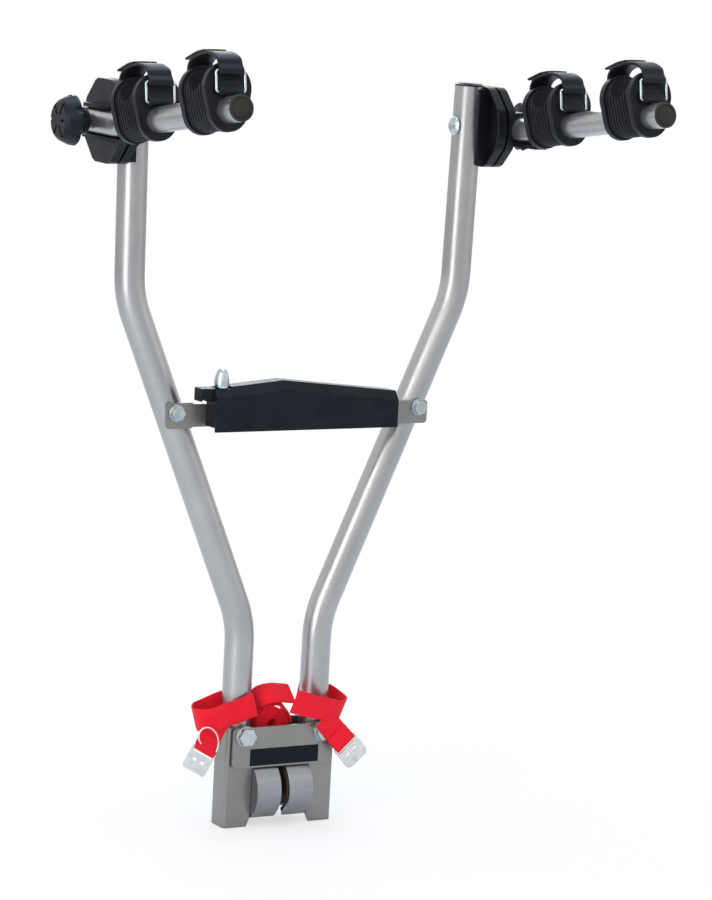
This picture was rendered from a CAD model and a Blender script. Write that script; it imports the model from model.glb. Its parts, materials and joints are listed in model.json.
"""Dresses a towbar rack for two bicycles: paint, zinc, moulded plastic, rubber and red webbing.

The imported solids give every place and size. Pieces that the solids only stand in for, such as the webbing and
the rubber straps, are modelled here. Lengths are in metres, with MM for sizes that are known in millimetres.
X points to the right, Y to the car and Z up, from the centre of the tow ball.
"""

import json
import logging
import math
from dataclasses import dataclass
from enum import Enum

import bpy
from mathutils import Matrix, Vector


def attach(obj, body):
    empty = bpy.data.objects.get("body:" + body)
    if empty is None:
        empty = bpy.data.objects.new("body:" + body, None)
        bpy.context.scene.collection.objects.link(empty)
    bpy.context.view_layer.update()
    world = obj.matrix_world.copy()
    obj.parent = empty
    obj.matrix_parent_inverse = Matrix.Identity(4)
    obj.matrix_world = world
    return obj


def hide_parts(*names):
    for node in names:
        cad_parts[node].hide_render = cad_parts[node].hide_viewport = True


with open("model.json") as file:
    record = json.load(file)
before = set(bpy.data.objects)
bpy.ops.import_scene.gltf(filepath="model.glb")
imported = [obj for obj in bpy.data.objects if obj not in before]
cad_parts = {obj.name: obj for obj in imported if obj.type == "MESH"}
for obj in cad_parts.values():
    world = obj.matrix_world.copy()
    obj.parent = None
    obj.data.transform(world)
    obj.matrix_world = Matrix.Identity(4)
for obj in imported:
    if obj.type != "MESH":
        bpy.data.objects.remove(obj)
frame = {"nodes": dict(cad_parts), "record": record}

MM = 0.001
MERGE_DISTANCE = 2e-6
TURN_STEPS = 48
FLAT_ANGLE = math.radians(0.6)
LOG = logging.getLogger("rack")
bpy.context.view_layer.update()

Point = tuple[float, float, float]
Colour = tuple[float, float, float]
Outline = tuple[tuple[float, float], ...]
Piece = bpy.types.Object
Socket = bpy.types.NodeSocket


def placed(name: str, data: bpy.types.ID) -> Piece:
    """Puts an object into the scene.

    Args:
        name: The object's name.
        data: Its mesh, curve, light or camera.

    Returns:
        The object.
    """
    made = bpy.data.objects.new(name, data)
    bpy.context.scene.collection.objects.link(made)
    return made


class Side(Enum):
    """The two halves of the rack; the value is the sign of X."""

    LEFT = -1
    RIGHT = 1

    @property
    def word(self) -> str:
        """The side as the solids' names spell it."""
        return self.name.lower()


class Place(Enum):
    """The two cradles on each arm; the value is the distance along the arm from its joint."""

    INNER = 108 * MM
    OUTER = 250 * MM

    @property
    def word(self) -> str:
        """The place as the solids' names spell it."""
        return self.name.lower()


class Shader:
    """A material while it is made: its node tree and the patterns that the finishes share."""

    def __init__(self, name: str) -> None:
        """Starts a material.

        Args:
            name: The material's name.
        """
        self.material = bpy.data.materials.new(name)
        self.material.use_nodes = True
        self.tree = self.material.node_tree
        self.surface = self.tree.nodes["Principled BSDF"]
        self.object_coords = self.node("ShaderNodeTexCoord").outputs["Object"]

    def node(self, kind: str, **settings: object) -> bpy.types.Node:
        """Adds a node.

        Args:
            kind: The node's type name.
            settings: Values of the node's own properties.

        Returns:
            The node.
        """
        made = self.tree.nodes.new(kind)
        for key, value in settings.items():
            setattr(made, key, value)
        return made

    def link(self, source: Socket, target: Socket) -> None:
        """Joins an output to an input."""
        self.tree.links.new(source, target)

    def plain(self, **values: object) -> None:
        """Sets inputs of the surface shader that are the same all over; underscores stand for spaces."""
        for key, value in values.items():
            self.surface.inputs[key.replace("_", " ")].default_value = value

    def noise(self, scale: float, detail: float = 3.0, stretch: Point = (1, 1, 1)) -> Socket:
        """Adds a noise pattern on the object's coordinates.

        Args:
            scale: Features per metre.
            detail: Octaves of finer detail.
            stretch: Extra scale along each axis.

        Returns:
            The pattern's value, from 0 to 1.
        """
        mapping = self.node("ShaderNodeMapping")
        mapping.inputs["Scale"].default_value = [scale * part for part in stretch]
        self.link(self.object_coords, mapping.inputs["Vector"])
        pattern = self.node("ShaderNodeTexNoise")
        pattern.inputs["Scale"].default_value = 1.0
        pattern.inputs["Detail"].default_value = detail
        self.link(mapping.outputs["Vector"], pattern.inputs["Vector"])
        return pattern.outputs["Fac"]

    def spread(self, value: Socket, low: float, high: float) -> Socket:
        """Maps the middle of a pattern, 0.3 to 0.7, to a range.

        Args:
            value: The pattern.
            low: The result at 0.3.
            high: The result at 0.7.

        Returns:
            The mapped value.
        """
        node = self.node("ShaderNodeMapRange")
        node.inputs["From Min"].default_value = 0.3
        node.inputs["From Max"].default_value = 0.7
        node.inputs["To Min"].default_value = low
        node.inputs["To Max"].default_value = high
        self.link(value, node.inputs["Value"])
        return node.outputs["Result"]

    def blend(self, value: Socket, first: Colour, second: Colour) -> Socket:
        """Mixes two colours by a pattern.

        Args:
            value: The pattern, from 0 to 1.
            first: The colour at 0.
            second: The colour at 1.

        Returns:
            The colour.
        """
        node = self.node("ShaderNodeMix", data_type="RGBA")
        node.inputs[6].default_value = (*first, 1)
        node.inputs[7].default_value = (*second, 1)
        self.link(value, node.inputs[0])
        return node.outputs[2]

    def tint(self, tone: Socket, first: Colour, second: Colour) -> None:
        """Colours the surface by a pattern, from the first colour where it is low to the second."""
        self.link(self.blend(self.spread(tone, 0, 1), first, second), self.surface.inputs["Base Color"])

    def gloss(self, pattern: Socket, rough: float, swing: tuple[float, float]) -> None:
        """Varies the roughness by a pattern, from the first swing below it to the second above."""
        self.link(self.spread(pattern, rough - swing[0], rough + swing[1]), self.surface.inputs["Roughness"])

    def arithmetic(self, operation: str, first: object, second: object) -> Socket:
        """Adds a maths node.

        Args:
            operation: The node's operation.
            first: A socket or a number.
            second: A socket or a number.

        Returns:
            The result.
        """
        node = self.node("ShaderNodeMath", operation=operation)
        for place, value in enumerate((first, second)):
            if isinstance(value, (int, float)):
                node.inputs[place].default_value = value
            else:
                self.link(value, node.inputs[place])
        return node.outputs[0]

    def bump(self, height: Socket, depth: float, strength: float = 1.0) -> None:
        """Raises the surface by a pattern.

        Args:
            height: The pattern.
            depth: The height of the relief in metres.
            strength: How much of it shows.
        """
        node = self.node("ShaderNodeBump")
        node.inputs["Distance"].default_value = depth
        node.inputs["Strength"].default_value = strength
        self.link(height, node.inputs["Height"])
        self.link(node.outputs["Normal"], self.surface.inputs["Normal"])


@dataclass(frozen=True)
class PaintedSteel:
    """Silver paint with a fine flake, baked on steel tube or folded sheet."""

    name: str
    colour: Colour
    shade: Colour
    roughness: float
    metal: float
    flake_per_m: float = 2600
    flake_share: float = 0.35
    cloud_per_m: float = 14
    marks_per_m: float = 55
    peel_per_m: float = 900
    peel_flake: float = 0.4
    peel_depth: float = 0.03 * MM
    swing: tuple[float, float] = (0.05, 0.07)

    def build(self) -> bpy.types.Material:
        """Makes the material: flake in the colour, orange peel in the relief, handling marks in the gloss."""
        shader = Shader(self.name)
        shader.plain(Metallic=self.metal, Coat_Weight=0.25, Coat_Roughness=0.2)
        flake = shader.noise(self.flake_per_m, 2)
        part = shader.arithmetic("MULTIPLY", flake, self.flake_share)
        rest = shader.arithmetic("MULTIPLY", shader.noise(self.cloud_per_m, 4), 1 - self.flake_share)
        shader.tint(shader.arithmetic("ADD", part, rest), self.shade, self.colour)
        marks = shader.noise(self.marks_per_m, 5, (1, 1, 0.35))
        shader.gloss(marks, self.roughness, self.swing)
        grit = shader.arithmetic("MULTIPLY", flake, self.peel_flake)
        peel = shader.arithmetic("ADD", shader.noise(self.peel_per_m, 2), grit)
        shader.bump(peel, self.peel_depth, strength=0.35)
        return shader.material


@dataclass(frozen=True)
class ZincPlate:
    """Bright plated steel with a faint cloud of passivation."""

    name: str
    colour: Colour
    tint: Colour
    roughness: float
    cloud_per_m: float = 160
    lines_per_m: float = 700
    lines_depth: float = 0.02 * MM
    swing: tuple[float, float] = (0.06, 0.1)

    def build(self) -> bpy.types.Material:
        """Makes the material: a cloud in the colour and fine drawing lines in the gloss."""
        shader = Shader(self.name)
        shader.plain(Metallic=1.0)
        shader.tint(shader.noise(self.cloud_per_m, 4), self.colour, self.tint)
        lines = shader.noise(self.lines_per_m, 3, (1, 1, 5))
        shader.gloss(lines, self.roughness, self.swing)
        shader.bump(lines, self.lines_depth, strength=0.3)
        return shader.material


@dataclass(frozen=True)
class MouldedPlastic:
    """Black moulded plastic or rubber with a spark-eroded grain."""

    name: str
    colour: Colour
    bloom: Colour
    roughness: float
    grain_per_m: float
    grain_depth: float
    bloom_per_m: float = 38
    rubbed_per_m: float = 70
    swing: tuple[float, float] = (0.07, 0.08)

    def build(self) -> bpy.types.Material:
        """Makes the material: grain in the relief, a faint grey bloom, and rubbed places in the gloss."""
        shader = Shader(self.name)
        shader.plain(Specular_IOR_Level=0.22, Specular_Tint=(0.62, 0.76, 1.0, 1.0))
        shader.tint(shader.noise(self.bloom_per_m, 5), self.colour, self.bloom)
        shader.gloss(shader.noise(self.rubbed_per_m, 4), self.roughness, self.swing)
        shader.bump(shader.noise(self.grain_per_m, 3), self.grain_depth, strength=0.5)
        return shader.material


@dataclass(frozen=True)
class Webbing:
    """Woven polyester webbing; its pattern follows the band's own map, in metres across and along."""

    name: str
    colour: Colour
    shade: Colour
    rib_pitch: float = 1.9 * MM
    yarn_pitch: float = 1.25 * MM
    cloud_per_m: float = 60
    relief: float = 0.22 * MM
    rib_power: float = 0.6
    yarn_floor: float = 0.35
    weave_share: float = 0.6
    cloud_share: float = 0.45

    def wave(self, shader: Shader, along: Socket, pitch: float, offset: object = 0.0) -> Socket:
        """A sine wave along one direction of the map.

        Args:
            shader: The material.
            along: The distance in metres.
            pitch: The wave's length.
            offset: A shift in radians.

        Returns:
            The wave, from 0 to 1.
        """
        turned = shader.arithmetic("ADD", shader.arithmetic("MULTIPLY", along, math.tau / pitch), offset)
        raised = shader.arithmetic("ADD", shader.arithmetic("SINE", turned, 0.0), 1.0)
        return shader.arithmetic("MULTIPLY", raised, 0.5)

    def build(self) -> bpy.types.Material:
        """Makes the material: staggered yarns in ribs, dark between them, with a soft sheen."""
        shader = Shader(self.name)
        shader.plain(Sheen_Weight=0.08, Sheen_Roughness=0.4, Specular_IOR_Level=0.12)
        apart = shader.node("ShaderNodeSeparateXYZ")
        shader.link(shader.node("ShaderNodeUVMap", uv_map="weave").outputs["UV"], apart.inputs[0])
        across, along = apart.outputs["X"], apart.outputs["Y"]
        row = shader.arithmetic("FLOOR", shader.arithmetic("DIVIDE", across, self.rib_pitch), 0.0)
        stagger = shader.arithmetic("MULTIPLY", row, math.pi)
        rib = self.wave(shader, across, self.rib_pitch)
        yarn = self.wave(shader, along, self.yarn_pitch, stagger)
        raised = shader.arithmetic("ADD", yarn, self.yarn_floor)
        height = shader.arithmetic("MULTIPLY", shader.arithmetic("POWER", rib, self.rib_power), raised)
        cloud = shader.noise(self.cloud_per_m, 4)
        weave = shader.arithmetic("MULTIPLY", height, self.weave_share)
        tone = shader.arithmetic("ADD", weave, shader.arithmetic("MULTIPLY", cloud, self.cloud_share))
        shader.tint(tone, self.shade, self.colour)
        shader.link(shader.spread(cloud, 0.55, 0.8), shader.surface.inputs["Roughness"])
        shader.bump(height, self.relief, strength=0.8)
        return shader.material


FINISHES = (
    PaintedSteel("arm_paint", (0.435, 0.43, 0.43), (0.345, 0.342, 0.345), 0.3, 0.9),
    PaintedSteel("base_steel", (0.285, 0.277, 0.262), (0.215, 0.208, 0.198), 0.33, 0.8),
    PaintedSteel("jaw_steel", (0.32, 0.33, 0.35), (0.25, 0.26, 0.28), 0.2, 0.95),
    ZincPlate("zinc", (0.56, 0.60, 0.60), (0.40, 0.47, 0.48), 0.26),
    ZincPlate("nickel", (0.74, 0.74, 0.73), (0.62, 0.62, 0.62), 0.3),
    MouldedPlastic("black_plastic", (0.004, 0.004, 0.005), (0.010, 0.010, 0.011), 0.36, 1900, 0.04 * MM),
    MouldedPlastic("black_rubber", (0.006, 0.0055, 0.006), (0.014, 0.0135, 0.014), 0.44, 1300, 0.05 * MM),
    MouldedPlastic("jaw_rubber", (0.060, 0.042, 0.028), (0.10, 0.075, 0.05), 0.7, 900, 0.1 * MM),
    Webbing("red_webbing", (0.97, 0.018, 0.042), (0.68, 0.008, 0.018)),
    MouldedPlastic("cap_plastic", (0.020, 0.018, 0.013), (0.040, 0.036, 0.027), 0.5, 1500, 0.05 * MM),
    MouldedPlastic("label_film", (0.002, 0.002, 0.0025), (0.004, 0.004, 0.0045), 0.3, 600, 0.01 * MM),
)


class Workshop:
    """What every sub-assembly uses to pick up, round, finish and fit a piece."""

    def __init__(self) -> None:
        """Makes every finish once, and looks up the solids' bodies and slots."""
        record = frame["record"]
        self.finishes = {finish.name: finish.build() for finish in FINISHES}
        self.body_of = {node: body for body, nodes in record["behaviour"]["bodies"].items() for node in nodes}
        self.slot_of = {part["node"]: part["material_slot"] for part in record["subparts"]}
        self.dressed: set[str] = set()

    def pick(self, *things: Piece) -> None:
        """Selects these objects alone and makes the last one active."""
        bpy.ops.object.select_all(action="DESELECT")
        for thing in things:
            thing.select_set(True)
        bpy.context.view_layer.objects.active = things[-1]

    def modify(self, piece: Piece, kind: str, **settings: object) -> None:
        """Adds a modifier, sets it and applies it.

        Args:
            piece: The object.
            kind: The modifier's type.
            settings: Values of its properties.
        """
        self.pick(piece)
        modifier = piece.modifiers.new(kind.lower(), kind)
        for key, value in settings.items():
            setattr(modifier, key, value)
        bpy.ops.object.modifier_apply(modifier=modifier.name)

    def settle(self, piece: Piece) -> None:
        """Moves a piece's place and turn into its mesh."""
        self.pick(piece)
        bpy.ops.object.transform_apply(location=True, rotation=True, scale=True)

    def shade(self, piece: Piece, angle: float = 35.0) -> None:
        """Shades a piece smooth, with flat faces kept flat.

        Args:
            piece: The piece.
            angle: The angle in degrees up to which edges are smooth.
        """
        self.pick(piece)
        bpy.ops.object.shade_smooth_by_angle(angle=math.radians(angle))
        self.modify(piece, "WEIGHTED_NORMAL", keep_sharp=True, weight=80)

    def open_mesh(self, piece: Piece) -> None:
        """Opens a piece's whole mesh for editing.

        Args:
            piece: The piece.
        """
        self.pick(piece)
        bpy.ops.object.mode_set(mode="EDIT")
        bpy.ops.mesh.select_all(action="SELECT")

    def close(self, piece: Piece) -> None:
        """Merges doubled points and turns the faces outwards.

        Args:
            piece: The piece.
        """
        self.open_mesh(piece)
        bpy.ops.mesh.remove_doubles(threshold=MERGE_DISTANCE)
        bpy.ops.mesh.normals_make_consistent(inside=False)
        bpy.ops.object.mode_set(mode="OBJECT")

    def copy_of(self, node: str) -> Piece:
        """Copies a solid, with its triangles merged into whole faces.

        Args:
            node: The solid's name.

        Returns:
            The copy, which rides on nothing yet.
        """
        source = frame["nodes"][node]
        piece = placed(f"{node}_dressed", source.data.copy())
        piece.data.transform(source.matrix_world)
        piece.data.materials.clear()
        self.pick(piece)
        if piece.data.has_custom_normals:
            bpy.ops.mesh.customdata_custom_splitnormals_clear()
        self.open_mesh(piece)
        bpy.ops.mesh.remove_doubles(threshold=MERGE_DISTANCE)
        bpy.ops.mesh.dissolve_limited(angle_limit=FLAT_ANGLE)
        bpy.ops.object.mode_set(mode="OBJECT")
        return piece

    def fit(self, piece: Piece, body: str, finish: str, slot: str, *nodes: str) -> None:
        """Gives a piece its finish, its body and the solids that it stands for.

        Args:
            piece: The finished piece.
            body: The body that it rides on.
            finish: The name of its finish.
            slot: The record's slot for that material.
            nodes: The solids that it replaces.
        """
        piece.data.materials.clear()
        piece.data.materials.append(self.finishes[finish])
        if nodes:
            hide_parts(*nodes)
            self.dressed.update(nodes)
        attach(piece, body)
        LOG.info("%s rides on %s", piece.name, body)

    def turned(self, name: str, profile: list[tuple[float, float]], place: Matrix) -> Piece:
        """Turns a profile round an axis, as on a lathe.

        Args:
            name: The piece's name.
            profile: Radii and heights from the axis back to the axis.
            place: The matrix from the lathe's axes, Z along its axis, to the rack's.

        Returns:
            The turned piece.
        """
        mesh = bpy.data.meshes.new(name)
        edges = [(start, start + 1) for start in range(len(profile) - 1)]
        mesh.from_pydata([(radius, 0, height) for radius, height in profile], edges, [])
        piece = placed(name, mesh)
        self.open_mesh(piece)
        bpy.ops.mesh.spin(steps=TURN_STEPS, angle=math.tau, center=(0, 0, 0), axis=(0, 0, 1))
        bpy.ops.object.mode_set(mode="OBJECT")
        mesh.transform(place)
        self.close(piece)
        return piece

    def join(self, first: Piece, *others: Piece) -> Piece:
        """Joins pieces into one.

        Args:
            first: The piece that the others join.
            *others: The other pieces.

        Returns:
            The first piece.
        """
        self.pick(*others, first)
        bpy.ops.object.join()
        return first

    def round_off(self, node: str, radius: float, segments: int = 2, finish: str = "", angle: float = 38) -> Piece:
        """Stands in for a solid with the same form, its sharp edges rounded.

        Args:
            node: The solid's name.
            radius: The radius of the edges.
            segments: Steps in each rounding.
            finish: The name of the finish, or nothing for that of the solid's slot.
            angle: The least angle of an edge that is rounded, in degrees.

        Returns:
            The rounded piece.
        """
        piece = self.copy_of(node)
        self.modify(
            piece, "BEVEL", width=radius, segments=segments, limit_method="ANGLE", angle_limit=math.radians(angle),
            use_clamp_overlap=True, loop_slide=True,
        )
        self.shade(piece)
        slot = self.slot_of[node]
        self.fit(piece, self.body_of[node], finish or slot, slot, node)
        return piece

    def paint(self, node: str) -> None:
        """Gives a solid that stays as it is the finish of its slot.

        Args:
            node: The solid's name.
        """
        thing, slot = frame["nodes"][node], self.slot_of[node]
        thing.data.materials.clear()
        thing.data.materials.append(self.finishes[slot])
        self.dressed.add(node)


@dataclass(frozen=True)
class Station:
    """One point of a band's route: where its middle is and which way its width points."""

    middle: Vector
    width_way: Vector


@dataclass
class Band:
    """A flat band of webbing or rubber that follows a route of stations."""

    name: str
    stations: list[Station]
    width: float
    thickness: float
    steps: int = 8
    edge_share: float = 0.3
    crown: float = 0.0
    edge_form: Outline = ((0.3, 0.75), (0, 0.25), (0, -0.25), (0.3, -0.75))

    def curve(self, points: list[Vector], span: int, share: float) -> Vector:
        """A point on the smooth curve through the route.

        Args:
            points: The route's points.
            span: The stretch between two of them.
            share: How far along that stretch, from 0 to 1.

        Returns:
            The point.
        """
        last = len(points) - 1
        before, start, end, after = (points[min(max(span + step, 0), last)] for step in (-1, 0, 1, 2))
        pull_start, pull_end = (end - before) / 2, (after - start) / 2
        two, three = share**2, share**3
        return (
            start * (2 * three - 3 * two + 1)
            + pull_start * (three - 2 * two + share)
            + end * (3 * two - 2 * three)
            + pull_end * (three - two)
        )

    def route(self) -> list[Station]:
        """The smooth route, in many small steps."""
        middles = [station.middle for station in self.stations]
        ways = [station.width_way for station in self.stations]
        spans = len(middles) - 1
        places = [(span, step / self.steps) for span in range(spans) for step in range(self.steps)]
        found = [Station(self.curve(middles, *place), self.curve(ways, *place).normalized()) for place in places]
        return [*found, Station(middles[-1], ways[-1].normalized())]

    def section(self) -> list[tuple[float, float]]:
        """The band's cross-section: half round edges and a slight crown, as places across and through."""
        half, deep = self.width / 2, self.thickness / 2
        edge = deep * 2 * self.edge_share
        shares = (-1, -0.6, -0.2, 0.2, 0.6, 1)
        face = [(share * (half - edge), deep + self.crown * (1 - share * share)) for share in shares]
        right = [(half - edge * inset, deep * through) for inset, through in self.edge_form]
        back = [(-share * (half - edge), -deep) for share in shares]
        left = [(-across, -through) for across, through in right]
        return [*face, *right, *back, *left]

    def build(self, shop: Workshop) -> Piece:
        """Makes the band's mesh, mapped in metres across and along.

        Args:
            shop: The workshop.

        Returns:
            The band.
        """
        stops, outline = self.route(), self.section()
        points: list[Vector] = []
        along = [0.0]
        for place, stop in enumerate(stops):
            ahead = stops[min(place + 1, len(stops) - 1)].middle - stops[max(place - 1, 0)].middle
            across = (stop.width_way - ahead.normalized() * stop.width_way.dot(ahead.normalized())).normalized()
            through = across.cross(ahead.normalized())
            points += [stop.middle + across * u + through * v for u, v in outline]
            if place:
                along.append(along[-1] + (stop.middle - stops[place - 1].middle).length)
        count = len(outline)
        faces = []
        for start in range(0, len(points) - count, count):
            for place in range(count):
                here, beside = start + place, start + (place + 1) % count
                faces.append((here, beside, beside + count, here + count))
        faces += [tuple(reversed(range(count))), tuple(range(len(points) - count, len(points)))]
        mesh = bpy.data.meshes.new(self.name)
        mesh.from_pydata([tuple(point) for point in points], [], faces)
        layer = mesh.uv_layers.new(name="weave")
        for loop in mesh.loops:
            row, place = divmod(loop.vertex_index, count)
            layer.data[loop.index].uv = (outline[place][0] + self.width, along[row])
        piece = placed(self.name, mesh)
        shop.close(piece)
        shop.pick(piece)
        bpy.ops.object.shade_smooth_by_angle(angle=math.radians(50))
        return piece

    def length(self) -> float:
        """The length of the band's middle line."""
        stops = self.route()
        return sum((after.middle - before.middle).length for before, after in zip(stops, stops[1:]))


@dataclass
class ArmFrame:
    """The arm's own axes: across it, along it to the rear, and up, with the joint as origin."""

    side: Side
    arm_x: float = 230.73 * MM
    joint_z: float = 681 * MM
    bend: float = 55 * MM
    rise: float = math.radians(8.5)

    def at(self, along: float) -> Matrix:
        """The axes at a distance along the arm beyond its bend.

        Args:
            along: The distance from the joint.

        Returns:
            A matrix from the arm's axes to the rack's.
        """
        start = Matrix.Translation((self.side.value * self.arm_x, -self.bend, self.joint_z))
        return start @ Matrix.Rotation(-self.rise, 4, "X") @ Matrix.Translation((0, self.bend - along, 0))


@dataclass
class Base:
    """The foot of the rack: folded angles, jaws, bridge plates, pivot bolts and the blank label."""

    shop: Workshop
    plate_front: float = -22.5 * MM
    label_low: Point = (-38 * MM, 0, 28.2 * MM)
    label_high: Point = (41 * MM, 0, 45.8 * MM)
    label_t: float = 0.5 * MM

    def build_sheet_metal(self) -> None:
        """Rounds the cut edges of the folded and flat steel."""
        for node in ("front_plate", "rear_plate"):
            self.shop.round_off(node, 0.7 * MM, 3)
        for side in Side:
            self.shop.round_off(f"{side.word}_base_angle", 0.6 * MM)
            self.shop.round_off(f"{side.word}_jaw", 0.7 * MM, 3, "jaw_steel")
            self.shop.round_off(f"{side.word}_jaw_liner", 0.4 * MM)

    def build_label(self) -> None:
        """Lays a blank black label on the front plate."""
        low, high = self.label_low, self.label_high
        bpy.ops.object.select_all(action="DESELECT")
        bpy.ops.mesh.primitive_cube_add(
            size=1,
            location=((low[0] + high[0]) / 2, self.plate_front - self.label_t / 2, (low[2] + high[2]) / 2),
            scale=(high[0] - low[0], self.label_t, high[2] - low[2]),
        )
        piece = bpy.context.object
        piece.name = "blank_label"
        self.shop.settle(piece)
        self.shop.modify(piece, "BEVEL", width=0.2 * MM, segments=2, limit_method="ANGLE")
        self.shop.shade(piece)
        self.shop.fit(piece, "bridge", "label_film", "black_plastic")

    def build_fasteners(self) -> None:
        """Rounds the heads and nuts of the two pivot bolts."""
        self.shop.round_off("pivot_bolts", 0.7 * MM, 3)
        self.shop.round_off("pivot_nuts", 0.6 * MM)
        self.shop.round_off("pivot_spacers", 0.2 * MM)

    def build(self) -> None:
        """Builds the whole foot."""
        self.build_sheet_metal()
        self.build_label()
        self.build_fasteners()


@dataclass
class Frame:
    """The painted tubes with their end caps and joint bolts."""

    shop: Workshop
    cap_r: float = 10.4 * MM
    cap_edge: float = 0.6 * MM
    arm_back: float = 20 * MM
    arm_end: float = 301 * MM
    cap_in: float = 12 * MM
    cap_face: Outline = (
        (12.5, 0.0), (12.4, 0.9), (11.6, 1.5), (10.4, 1.5), (9.8, 0.7), (8.9, 0.7), (8.4, 1.4), (5, 1.8), (0, 1.9),
    )

    def build_caps(self, side: Side) -> None:
        """Turns the two caps of an arm, each with a groove round its face.

        Args:
            side: The arm's side.
        """
        face = [(radius * MM, height * MM) for radius, height in self.cap_face]
        front = ArmFrame(side).at(self.arm_end) @ Matrix.Rotation(math.pi / 2, 4, "X")
        start = Matrix.Translation((side.value * ArmFrame.arm_x, self.arm_back, ArmFrame.joint_z))
        rear = start @ Matrix.Rotation(-math.pi / 2, 4, "X")
        inner = self.cap_r - self.cap_edge
        pieces = []
        for name, place, depth in (("front", front, self.cap_in), ("rear", rear, self.cap_in / 2)):
            shank = [(0, -depth), (inner, -depth), (self.cap_r, -depth + self.cap_edge), (self.cap_r, 0)]
            pieces.append(self.shop.turned(f"{side.word}_arm_cap_{name}", [*shank, *face], place))
        caps = self.shop.join(*pieces)
        caps.name = f"{side.word}_arm_caps"
        self.shop.shade(caps, 30)
        self.shop.fit(caps, f"{side.word}_carrier", "cap_plastic", "black_plastic", f"{side.word}_arm_plugs")

    def build(self) -> None:
        """Finishes the tubes and rounds the small pieces on them."""
        for side in Side:
            self.shop.paint(f"{side.word}_upright")
            self.shop.paint(f"{side.word}_arm_tube")
            self.build_caps(side)
            self.shop.round_off(f"{side.word}_top_plug", 0.5 * MM)
            self.shop.round_off(f"{side.word}_joint_bolt", 0.4 * MM)
        self.shop.round_off("left_link_bolt", 0.6 * MM, 3)
        self.shop.round_off("right_handle_bolt", 0.6 * MM, 3)


@dataclass
class Knuckle:
    """One arm joint: two toothed plates and the clamping knob."""

    shop: Workshop
    side: Side

    def build(self) -> None:
        """Rounds the moulded pieces."""
        for form, radius in (("knuckle_base", 1.2), ("knuckle_arm", 1.2), ("knob", 1.3)):
            self.shop.round_off(f"{self.side.word}_{form}", radius * MM, 3)


@dataclass
class Cradle:
    """One rubber cradle with its strap and wire buckle."""

    shop: Workshop
    side: Side
    place: Place
    wall_h: float = 44 * MM
    half_l: float = 27.3 * MM
    strap_w: float = 25 * MM
    strap_t: float = 3 * MM
    strap_rise: float = 9.5 * MM
    buckle_low: float = 14.7 * MM
    buckle_h: float = 22 * MM
    buckle_y: float = 31.85 * MM
    wire_d: float = 2.5 * MM
    length: float = 54 * MM
    wrap_gap: float = 0.1 * MM
    crown_form: Outline = ((0.4, 0.62), (0.18, 0.9), (-0.1, 1), (-0.32, 0.82))
    tail_form: tuple[Point, ...] = ((-0.02, 1, 2.2), (0.2, 0.9, 2.6), (0.42, 0.7, 2.4), (0.62, 0.6, 1.2))

    def names(self, form: str) -> str:
        """The solid's name for a form of this cradle."""
        return f"{self.side.word}_{form}_{self.place.word}"

    def band(self, name: str, places: list[tuple[float, float]], thickness: float) -> Band:
        """A band across the arm's axis through places along and above it.

        Args:
            name: The band's name.
            places: Places along the arm, to the rear, and above its axis.
            thickness: The band's thickness.

        Returns:
            The band.
        """
        axes = ArmFrame(self.side).at(self.place.value)
        across = axes.to_3x3() @ Vector((1, 0, 0))
        stations = [Station(axes @ Vector((0, along, up)), across) for along, up in places]
        return Band(name, stations, self.strap_w, thickness, steps=6, crown=0.3 * MM)

    def wrap(self, bar_z: float, start: float, end: float, thickness: float) -> list[tuple[float, float]]:
        """Places round one bar of the buckle.

        Args:
            bar_z: The bar's height.
            start: The first angle in degrees, 0 at the rear and 90 above.
            end: The last angle in degrees.
            thickness: The band's thickness.

        Returns:
            Places along and above the arm's axis.
        """
        radius = (self.wire_d + thickness) / 2 + self.wrap_gap
        angles = [math.radians(start + (end - start) * step / 5) for step in range(6)]
        return [(-self.buckle_y + radius * math.cos(angle), bar_z + radius * math.sin(angle)) for angle in angles]

    def build_strap(self) -> None:
        """Models the strap: rear wall, arch over the saddle, fold round the buckle, loose tail and lower tongue."""
        y = self.half_l + self.strap_t / 2
        top = self.buckle_low + self.buckle_h - self.wire_d / 2
        low = self.buckle_low + self.wire_d / 2
        turn = self.wall_h + self.strap_t / 2
        arch = [
            (y, self.buckle_low),
            (y + 0.5 * MM, turn - 12 * MM),
            (y, turn - 2 * MM),
            *[(self.length * along, self.wall_h + self.strap_rise * up) for along, up in self.crown_form],
            (-y, turn + 1 * MM),
            (-y - 3 * MM, turn - 5 * MM),
            *self.wrap(top, 165, 330, self.strap_t),
            (-y + 0.2 * MM, top + 2 * MM),
        ]
        tail = [
            (self.length * along, self.wall_h + self.strap_rise * up + lift * MM) for along, up, lift in self.tail_form
        ]
        tongue_t = self.strap_t / 2
        tongue = [
            (-self.half_l - tongue_t / 2, low + 4 * self.wire_d),
            (-self.half_l - tongue_t / 2, low + self.wire_d),
            *self.wrap(low, 20, -190, tongue_t),
            (-self.half_l - tongue_t * 1.8, low + 3 * self.wire_d),
            (-self.half_l - tongue_t * 1.6, low + 4.2 * self.wire_d),
        ]
        forms = (("arch", arch, self.strap_t), ("tail", tail, self.strap_t * 0.75), ("tongue", tongue, tongue_t))
        for form, places, thickness in forms:
            piece = self.band(self.names(f"strap_{form}"), places, thickness).build(self.shop)
            nodes = [self.names("strap")] if form == "arch" else []
            self.shop.fit(piece, f"{self.side.word}_carrier", "black_rubber", "black_rubber", *nodes)

    def build(self) -> None:
        """Builds the cradle, its strap and its buckle."""
        self.shop.round_off(self.names("cradle"), 0.9 * MM, 3)
        self.build_strap()
        self.shop.paint(self.names("buckle"))


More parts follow.
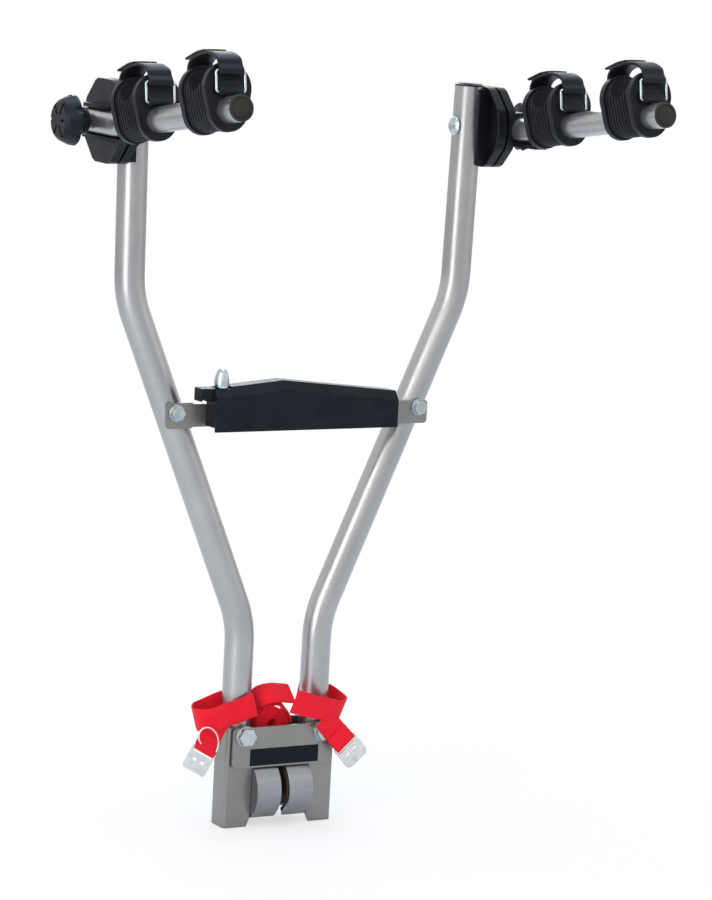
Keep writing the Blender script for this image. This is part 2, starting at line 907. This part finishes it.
@dataclass
class Handle:
    """The locking handle: steel bars, rivet, moulded cover and spring plunger."""

    shop: Workshop
    plunger_at: Point = (-97 * MM, -33.4 * MM, 0)
    plunger_profile: Outline = (
        (0, 400.3), (2.7, 400.3), (3, 400.6), (3, 410), (4, 410.4), (4, 420.2), (6.4, 420.4), (7.2, 421.4),
        (7.5, 424.5), (7.4, 428), (6.9, 431.5), (6.0, 435), (4.6, 438), (2.6, 439.8), (0, 440.3),
    )

    def build_plunger(self) -> None:
        """Turns the spring plunger: a pin, a shank and an egg-shaped knob."""
        profile = [(radius * MM, height * MM) for radius, height in self.plunger_profile]
        piece = self.shop.turned("plunger_turned", profile, Matrix.Translation(self.plunger_at))
        self.shop.shade(piece, 40)
        self.shop.fit(piece, "plunger", "zinc", "zinc", "plunger")

    def build(self) -> None:
        """Rounds the steel and the moulded cover."""
        self.shop.round_off("left_link", 0.5 * MM)
        self.shop.round_off("handle_bar", 0.5 * MM)
        self.shop.round_off("toggle_rivet", 0.4 * MM)
        self.shop.round_off("handle_cover", 3.0 * MM, 5, angle=24)
        self.build_plunger()


@dataclass(frozen=True)
class LoopForm:
    """How the webbing lies round one upright: its plane, its radius and how far its ends reach inwards."""

    side: Side
    middle: Point
    lean: float
    tilt: float
    radius: float
    out: float
    front: float
    rear: float
    tuck: float
    fold: float = 1.0 * MM
    sag: float = 0.5 * MM
    sag_step: float = 1.9

    def axes(self) -> Matrix:
        """The loop's own axes: outwards, to the rear, and across the webbing."""
        turn = Matrix.Rotation(math.radians(self.tilt), 4, "Y") @ Matrix.Rotation(math.radians(self.lean), 4, "X")
        return Matrix.Diagonal((self.side.value, 1, 1, 1)) @ Matrix.Translation(self.middle) @ turn

    def route(self) -> list[Station]:
        """The stations, from the tucked front end round the outside to the rear end."""
        tucked = -self.radius + 2 * self.fold
        places = [
            (-self.front + self.tuck, tucked),
            (-self.front + self.tuck * 0.4, tucked),
            (-self.front, tucked),
            (-self.front - self.fold, -self.radius + self.fold),
            (-self.front, -self.radius),
        ]
        fold_end = len(places) - 1
        reach = self.front + self.out
        places += [(-self.front + reach * step / 4, -self.radius) for step in range(1, 4)]
        angles = [math.radians(-90 + 180 * step / 8) for step in range(9)]
        places += [(self.out + self.radius * math.cos(angle), self.radius * math.sin(angle)) for angle in angles]
        places += [(self.out - (self.out + self.rear) * step / 3, self.radius) for step in range(1, 4)]
        axes = self.axes()
        across = axes.to_3x3() @ Vector((0, 0, 1))
        stations = []
        for place, (out, deep) in enumerate(places):
            drop = self.sag * math.sin(self.sag_step * place) if place > fold_end else 0.0
            stations.append(Station(axes @ Vector((out, deep, drop)), across))
        return stations


@dataclass(frozen=True)
class HookForm:
    """Where a hook hangs: the middle of its upper edge, its turn, and the length of webbing above it."""

    side: Side
    top: Point
    turn: float
    tail: float
    drape: Outline = ((1, 0.5), (0.66, 0.7), (0.3, 0.8))
    fold: Outline = (
        (2, 0.8), (-2.4, 1.3), (-4.9, 2.9), (-3.4, 4.9), (-0.4, 5.3), (3, 4.5), (8, 3.1), (13, 2.6),
    )

    def axes(self) -> Matrix:
        """The hook's own axes: across the webbing, up along it, and to the viewer."""
        turn = Matrix.Rotation(math.pi / 2, 4, "X") @ Matrix.Rotation(math.radians(self.turn), 4, "Z")
        return Matrix.Diagonal((self.side.value, 1, 1, 1)) @ Matrix.Translation(self.top) @ turn

    def route(self) -> list[Station]:
        """The webbing's end: down behind the hook's plate, through its slot and folded up over the front."""
        places = [(self.tail * share, deep) for share, deep in self.drape]
        places += [(up * MM, deep) for up, deep in self.fold]
        axes = self.axes()
        across = axes.to_3x3() @ Vector((1, 0, 0))
        return [Station(axes @ Vector((0, up, deep * MM)), across) for up, deep in places]


@dataclass
class SafetyStrap:
    """The red webbing strap: a loop and a hook on each side, and the spare end rolled between the uprights."""

    shop: Workshop
    width: float = 25 * MM
    thickness: float = 1.6 * MM
    coil_at: Point = (-6.5 * MM, 2.5 * MM, 66.5 * MM)
    coil_r0: float = 5.6 * MM
    coil_pitch: float = 2.05 * MM
    coil_turns: int = 6
    coil_steps: int = 16
    slack_x: float = 1 * MM
    slack_y: float = -1 * MM
    slack_r: float = 20.1 * MM
    slack_lift: float = 5.5 * MM
    slack_lean: float = 25
    slack_start: float = 165
    slack_turn: float = 16
    slack_steps: int = 11
    arch_at: Point = (-3 * MM, -14 * MM, 90.8 * MM)
    arch_r: float = 20.3 * MM
    arch_lean: float = 40
    arch_shares: Outline = (
        (-0.97, -0.81), (-0.94, -0.55), (-0.82, -0.25), (-0.5, -0.05), (0, 0), (0.6, -0.1), (1.0, -0.2), (1.15, -0.4),
    )
    wire_r: float = 0.9 * MM
    bail_corners: Outline = (
        (10, 1.5), (15, 5), (17.5, 12), (13, 18.5), (5, 19.5), (-4, 15), (-9, 8), (-10.5, 1.5),
    )
    bail_out: float = 7.4 * MM
    left_loop: LoopForm = LoopForm(
        Side.LEFT, (45 * MM, 0, 88 * MM), 0, 16, 18.6 * MM, 28 * MM, 11 * MM, 17 * MM, 7 * MM
    )
    right_loop: LoopForm = LoopForm(
        Side.RIGHT, (45 * MM, -6.5 * MM, 89.5 * MM), 12, 15, 26.3 * MM, 2.5 * MM, 38 * MM, 9 * MM, 14 * MM
    )
    left_hook: HookForm = HookForm(Side.LEFT, (88 * MM, -16.4 * MM, 50 * MM), 30, 30 * MM)
    right_hook: HookForm = HookForm(Side.RIGHT, (64 * MM, -30.7 * MM, 50 * MM), 42, 34 * MM)

    def web(self, name: str, stations: list[Station], steps: int = 8) -> tuple[Band, Piece]:
        """Makes a length of webbing.

        Args:
            name: The piece's name.
            stations: Its route.
            steps: Steps between two stations.

        Returns:
            The band and its mesh.
        """
        band = Band(name, stations, self.width, self.thickness, steps=steps, crown=0.1 * MM)
        return band, band.build(self.shop)

    def rolled_end(self) -> Piece:
        """Models the roll: one unbroken spiral."""
        stations = []
        for step in range(self.coil_turns * self.coil_steps + 1):
            angle = math.pi + math.tau * step / self.coil_steps
            radius = self.coil_r0 + self.coil_pitch * step / self.coil_steps
            middle = Vector(self.coil_at) + Vector((radius * math.cos(angle), 0, radius * math.sin(angle)))
            stations.append(Station(middle, Vector((0, 1, 0))))
        return self.web("strap_roll", stations, 3)[1]

    def over_layer(self) -> Piece:
        """Models the slack layer that lies over the roll."""
        lean = math.radians(self.slack_lean)
        stations = []
        for step in range(self.slack_steps):
            angle = math.radians(self.slack_start - self.slack_turn * step)
            radius = self.slack_r + self.slack_lift * math.sin(angle) * abs(math.sin(angle))
            place = Vector((self.slack_x + radius * math.cos(angle), self.slack_y, radius * math.sin(angle)))
            stations.append(Station(Vector(self.coil_at) + place, Vector((0, math.cos(lean), math.sin(lean)))))
        return self.web("strap_slack_layer", stations, 5)[1]

    def arch(self) -> Piece:
        """Models the arch over the roll, its front edge lower than its rear edge."""
        lean = math.radians(self.arch_lean)
        up, back = Vector((0, -math.sin(lean), math.cos(lean))), Vector((0, math.cos(lean), math.sin(lean)))
        start = Vector(self.arch_at) + back * self.width / 2
        places = [start + Vector((x * self.arch_r, 0, 0)) + up * z * self.arch_r for x, z in self.arch_shares]
        return self.web("strap_arch", [Station(place, back) for place in places])[1]

    def bail(self) -> Piece:
        """Bends the left hook's wire bail from round wire."""
        axes = self.left_hook.axes()
        curve = bpy.data.curves.new("hook_bail", "CURVE")
        curve.dimensions, curve.bevel_depth, curve.bevel_resolution = "3D", self.wire_r, 4
        spline = curve.splines.new("BEZIER")
        spline.bezier_points.add(len(self.bail_corners) - 1)
        for point, (across, up) in zip(spline.bezier_points, self.bail_corners):
            point.co = axes @ Vector((across * MM, up * MM, self.bail_out))
            point.handle_left_type = point.handle_right_type = "AUTO"
        curve.use_fill_caps = True
        piece = placed("hook_bail", curve)
        self.shop.pick(piece)
        bpy.ops.object.convert(target="MESH")
        self.shop.close(piece)
        self.shop.pick(piece)
        bpy.ops.object.shade_smooth()
        return piece

    def declare(self, band: Band) -> None:
        """Says that a loop is a free cord.

        Args:
            band: The band that it was made from.
        """
        path = [tuple(stop.middle) for stop in band.route()]
        round(band.length(), 4)

    def build(self) -> None:
        """Builds the strap with its hooks."""
        red = ("red_webbing", "red_webbing")
        hooks = {side: self.shop.round_off(f"{side.word}_hook", 0.4 * MM, 2, "nickel") for side in Side}
        roll, slack, arch = self.rolled_end(), self.over_layer(), self.arch()
        self.shop.fit(roll, "bridge", *red, "safety_strap_coil")
        self.shop.fit(slack, "bridge", *red)
        self.shop.fit(arch, "bridge", *red, "safety_strap_arch")
        bail = self.bail()
        self.shop.fit(bail, "bridge", "nickel", "zinc")
        for loop, hook in ((self.left_loop, self.left_hook), (self.right_loop, self.right_hook)):
            word = loop.side.word
            tail = self.web(f"{word}_strap_tail", hook.route())[1]
            self.shop.fit(tail, "bridge", *red)
            band, piece = self.web(f"{word}_strap_loop", loop.route())
            self.shop.fit(piece, "bridge", *red, f"safety_strap_{word}")
            self.declare(band)


@dataclass(frozen=True)
class SoftBox:
    """One soft light: its place, its width and height, its power and its colour."""

    name: str
    place: Point
    width: float
    height: float
    power: float
    colour: Colour = (1.0, 1.0, 1.0)

    def hang(self, aim: Vector) -> None:
        """Hangs the light, turned to a point.

        Args:
            aim: The point.
        """
        data = bpy.data.lights.new(self.name, "AREA")
        data.shape, data.size, data.size_y = "RECTANGLE", self.width, self.height
        data.energy, data.color = self.power, self.colour
        turn = (Vector(self.place) - aim).to_track_quat("Z", "Y").to_matrix().to_4x4()
        placed(self.name, data).matrix_world = Matrix.Translation(self.place) @ turn


@dataclass
class Studio:
    """The camera, the soft light and the pale floor."""

    aim: Point = (60.66 * MM, -33.27 * MM, 353.25 * MM)
    azimuth: float = math.radians(30.0)
    elevation: float = math.radians(8.84)
    roll: float = math.radians(3.08)
    distance: float = 3806.71 * MM
    lens: float = 150.0
    ambient: Colour = (0.62, 0.63, 0.65)
    floor_z: float = -36.6 * MM
    floor_size: float = 40
    glow_near: float = 0.6
    glow_per_m: float = 0.5
    lamps: tuple[SoftBox, ...] = (
        SoftBox("key", (-1.35, -0.75, 0.74), 0.7, 1.54, 10.0),
        SoftBox("front", (-1.6, -2.9, 2.4), 1.6, 1.6, 12.0),
        SoftBox("fill", (2.9, -2.2, 1.4), 2.6, 2.6, 6.0),
        SoftBox("top", (0.2, 0.3, 3.2), 2.0, 2.0, 44.0, (0.66, 0.83, 1.0)),
        SoftBox("rim", (1.4, 2.6, 1.8), 1.4, 1.4, 20.0, (0.84, 0.9, 1.0)),
    )

    def build_camera(self) -> None:
        """Sets the camera at the photograph's viewing angle."""
        sin_a, cos_a = math.sin(self.azimuth), math.cos(self.azimuth)
        sin_e, cos_e = math.sin(self.elevation), math.cos(self.elevation)
        look = Vector((sin_a * cos_e, cos_a * cos_e, -sin_e))
        level = Vector((cos_a, -sin_a, 0))
        upright = level.cross(look)
        right = level * math.cos(self.roll) + upright * math.sin(self.roll)
        up = upright * math.cos(self.roll) - level * math.sin(self.roll)
        eye = Vector(self.aim) - look * self.distance
        data = bpy.data.cameras.new("camera")
        data.lens, data.sensor_width, data.sensor_fit = self.lens, 36, "AUTO"
        camera = placed("camera", data)
        turn = Matrix((right, up, -look)).transposed().to_4x4()
        camera.matrix_world = Matrix.Translation(eye) @ turn
        bpy.context.scene.camera = camera

    def build_world(self) -> None:
        """Makes the surroundings white where they are seen or mirrored, and softer as light."""
        world = bpy.data.worlds.new("studio")
        bpy.context.scene.world = world
        world.use_nodes = True
        tree = world.node_tree
        back = tree.nodes["Background"]
        path = tree.nodes.new("ShaderNodeLightPath")
        seen = path.outputs["Is Camera Ray"]
        for kind in ("Is Glossy Ray", "Is Transmission Ray"):
            either = tree.nodes.new("ShaderNodeMath")
            either.operation = "MAXIMUM"
            tree.links.new(seen, either.inputs[0])
            tree.links.new(path.outputs[kind], either.inputs[1])
            seen = either.outputs[0]
        mix = tree.nodes.new("ShaderNodeMix")
        mix.data_type = "RGBA"
        mix.inputs[6].default_value = (*self.ambient, 1)
        mix.inputs[7].default_value = (1, 1, 1, 1)
        tree.links.new(seen, mix.inputs[0])
        tree.links.new(mix.outputs[2], back.inputs["Color"])

    def build_floor(self) -> None:
        """Lays a wide pale floor that keeps a faint shadow."""
        bpy.ops.object.select_all(action="DESELECT")
        bpy.ops.mesh.primitive_plane_add(size=self.floor_size, location=(0, 0, self.floor_z))
        floor = bpy.context.object
        floor.name = "floor"
        shader = Shader("floor_paper")
        shader.plain(Base_Color=(0.9, 0.9, 0.9, 1), Roughness=0.9, Specular_IOR_Level=0.1)
        glow = shader.node("ShaderNodeEmission")
        path = shader.node("ShaderNodeLightPath")
        mix = shader.node("ShaderNodeMixShader")
        length = shader.node("ShaderNodeVectorMath", operation="LENGTH")
        shader.link(shader.object_coords, length.inputs[0])
        far = shader.arithmetic("MULTIPLY", length.outputs["Value"], self.glow_per_m)
        extra = shader.arithmetic("MINIMUM", far, 1 - self.glow_near)
        glowing = shader.arithmetic("ADD", extra, self.glow_near)
        part = shader.arithmetic("MULTIPLY", path.outputs["Is Camera Ray"], glowing)
        shader.link(part, mix.inputs[0])
        shader.link(shader.surface.outputs[0], mix.inputs[1])
        shader.link(glow.outputs[0], mix.inputs[2])
        shader.link(mix.outputs[0], shader.tree.nodes["Material Output"].inputs["Surface"])
        floor.data.materials.append(shader.material)

    def build(self) -> None:
        """Builds the studio."""
        bpy.context.scene.view_settings.view_transform = "Standard"
        self.build_camera()
        for lamp in self.lamps:
            lamp.hang(Vector(self.aim))
        self.build_world()
        self.build_floor()


def main() -> None:
    """Builds the studio and the rack, from the foot upwards."""
    logging.basicConfig(level=logging.INFO, format="%(message)s")
    Studio().build()
    shop = Workshop()
    SafetyStrap(shop).build()
    Base(shop).build()
    Frame(shop).build()
    for side in Side:
        Knuckle(shop, side).build()
        for place in Place:
            Cradle(shop, side, place).build()
    Handle(shop).build()
    for node in sorted(set(frame["nodes"]) - shop.dressed):
        shop.paint(node)


if __name__ == "__main__":
    main()
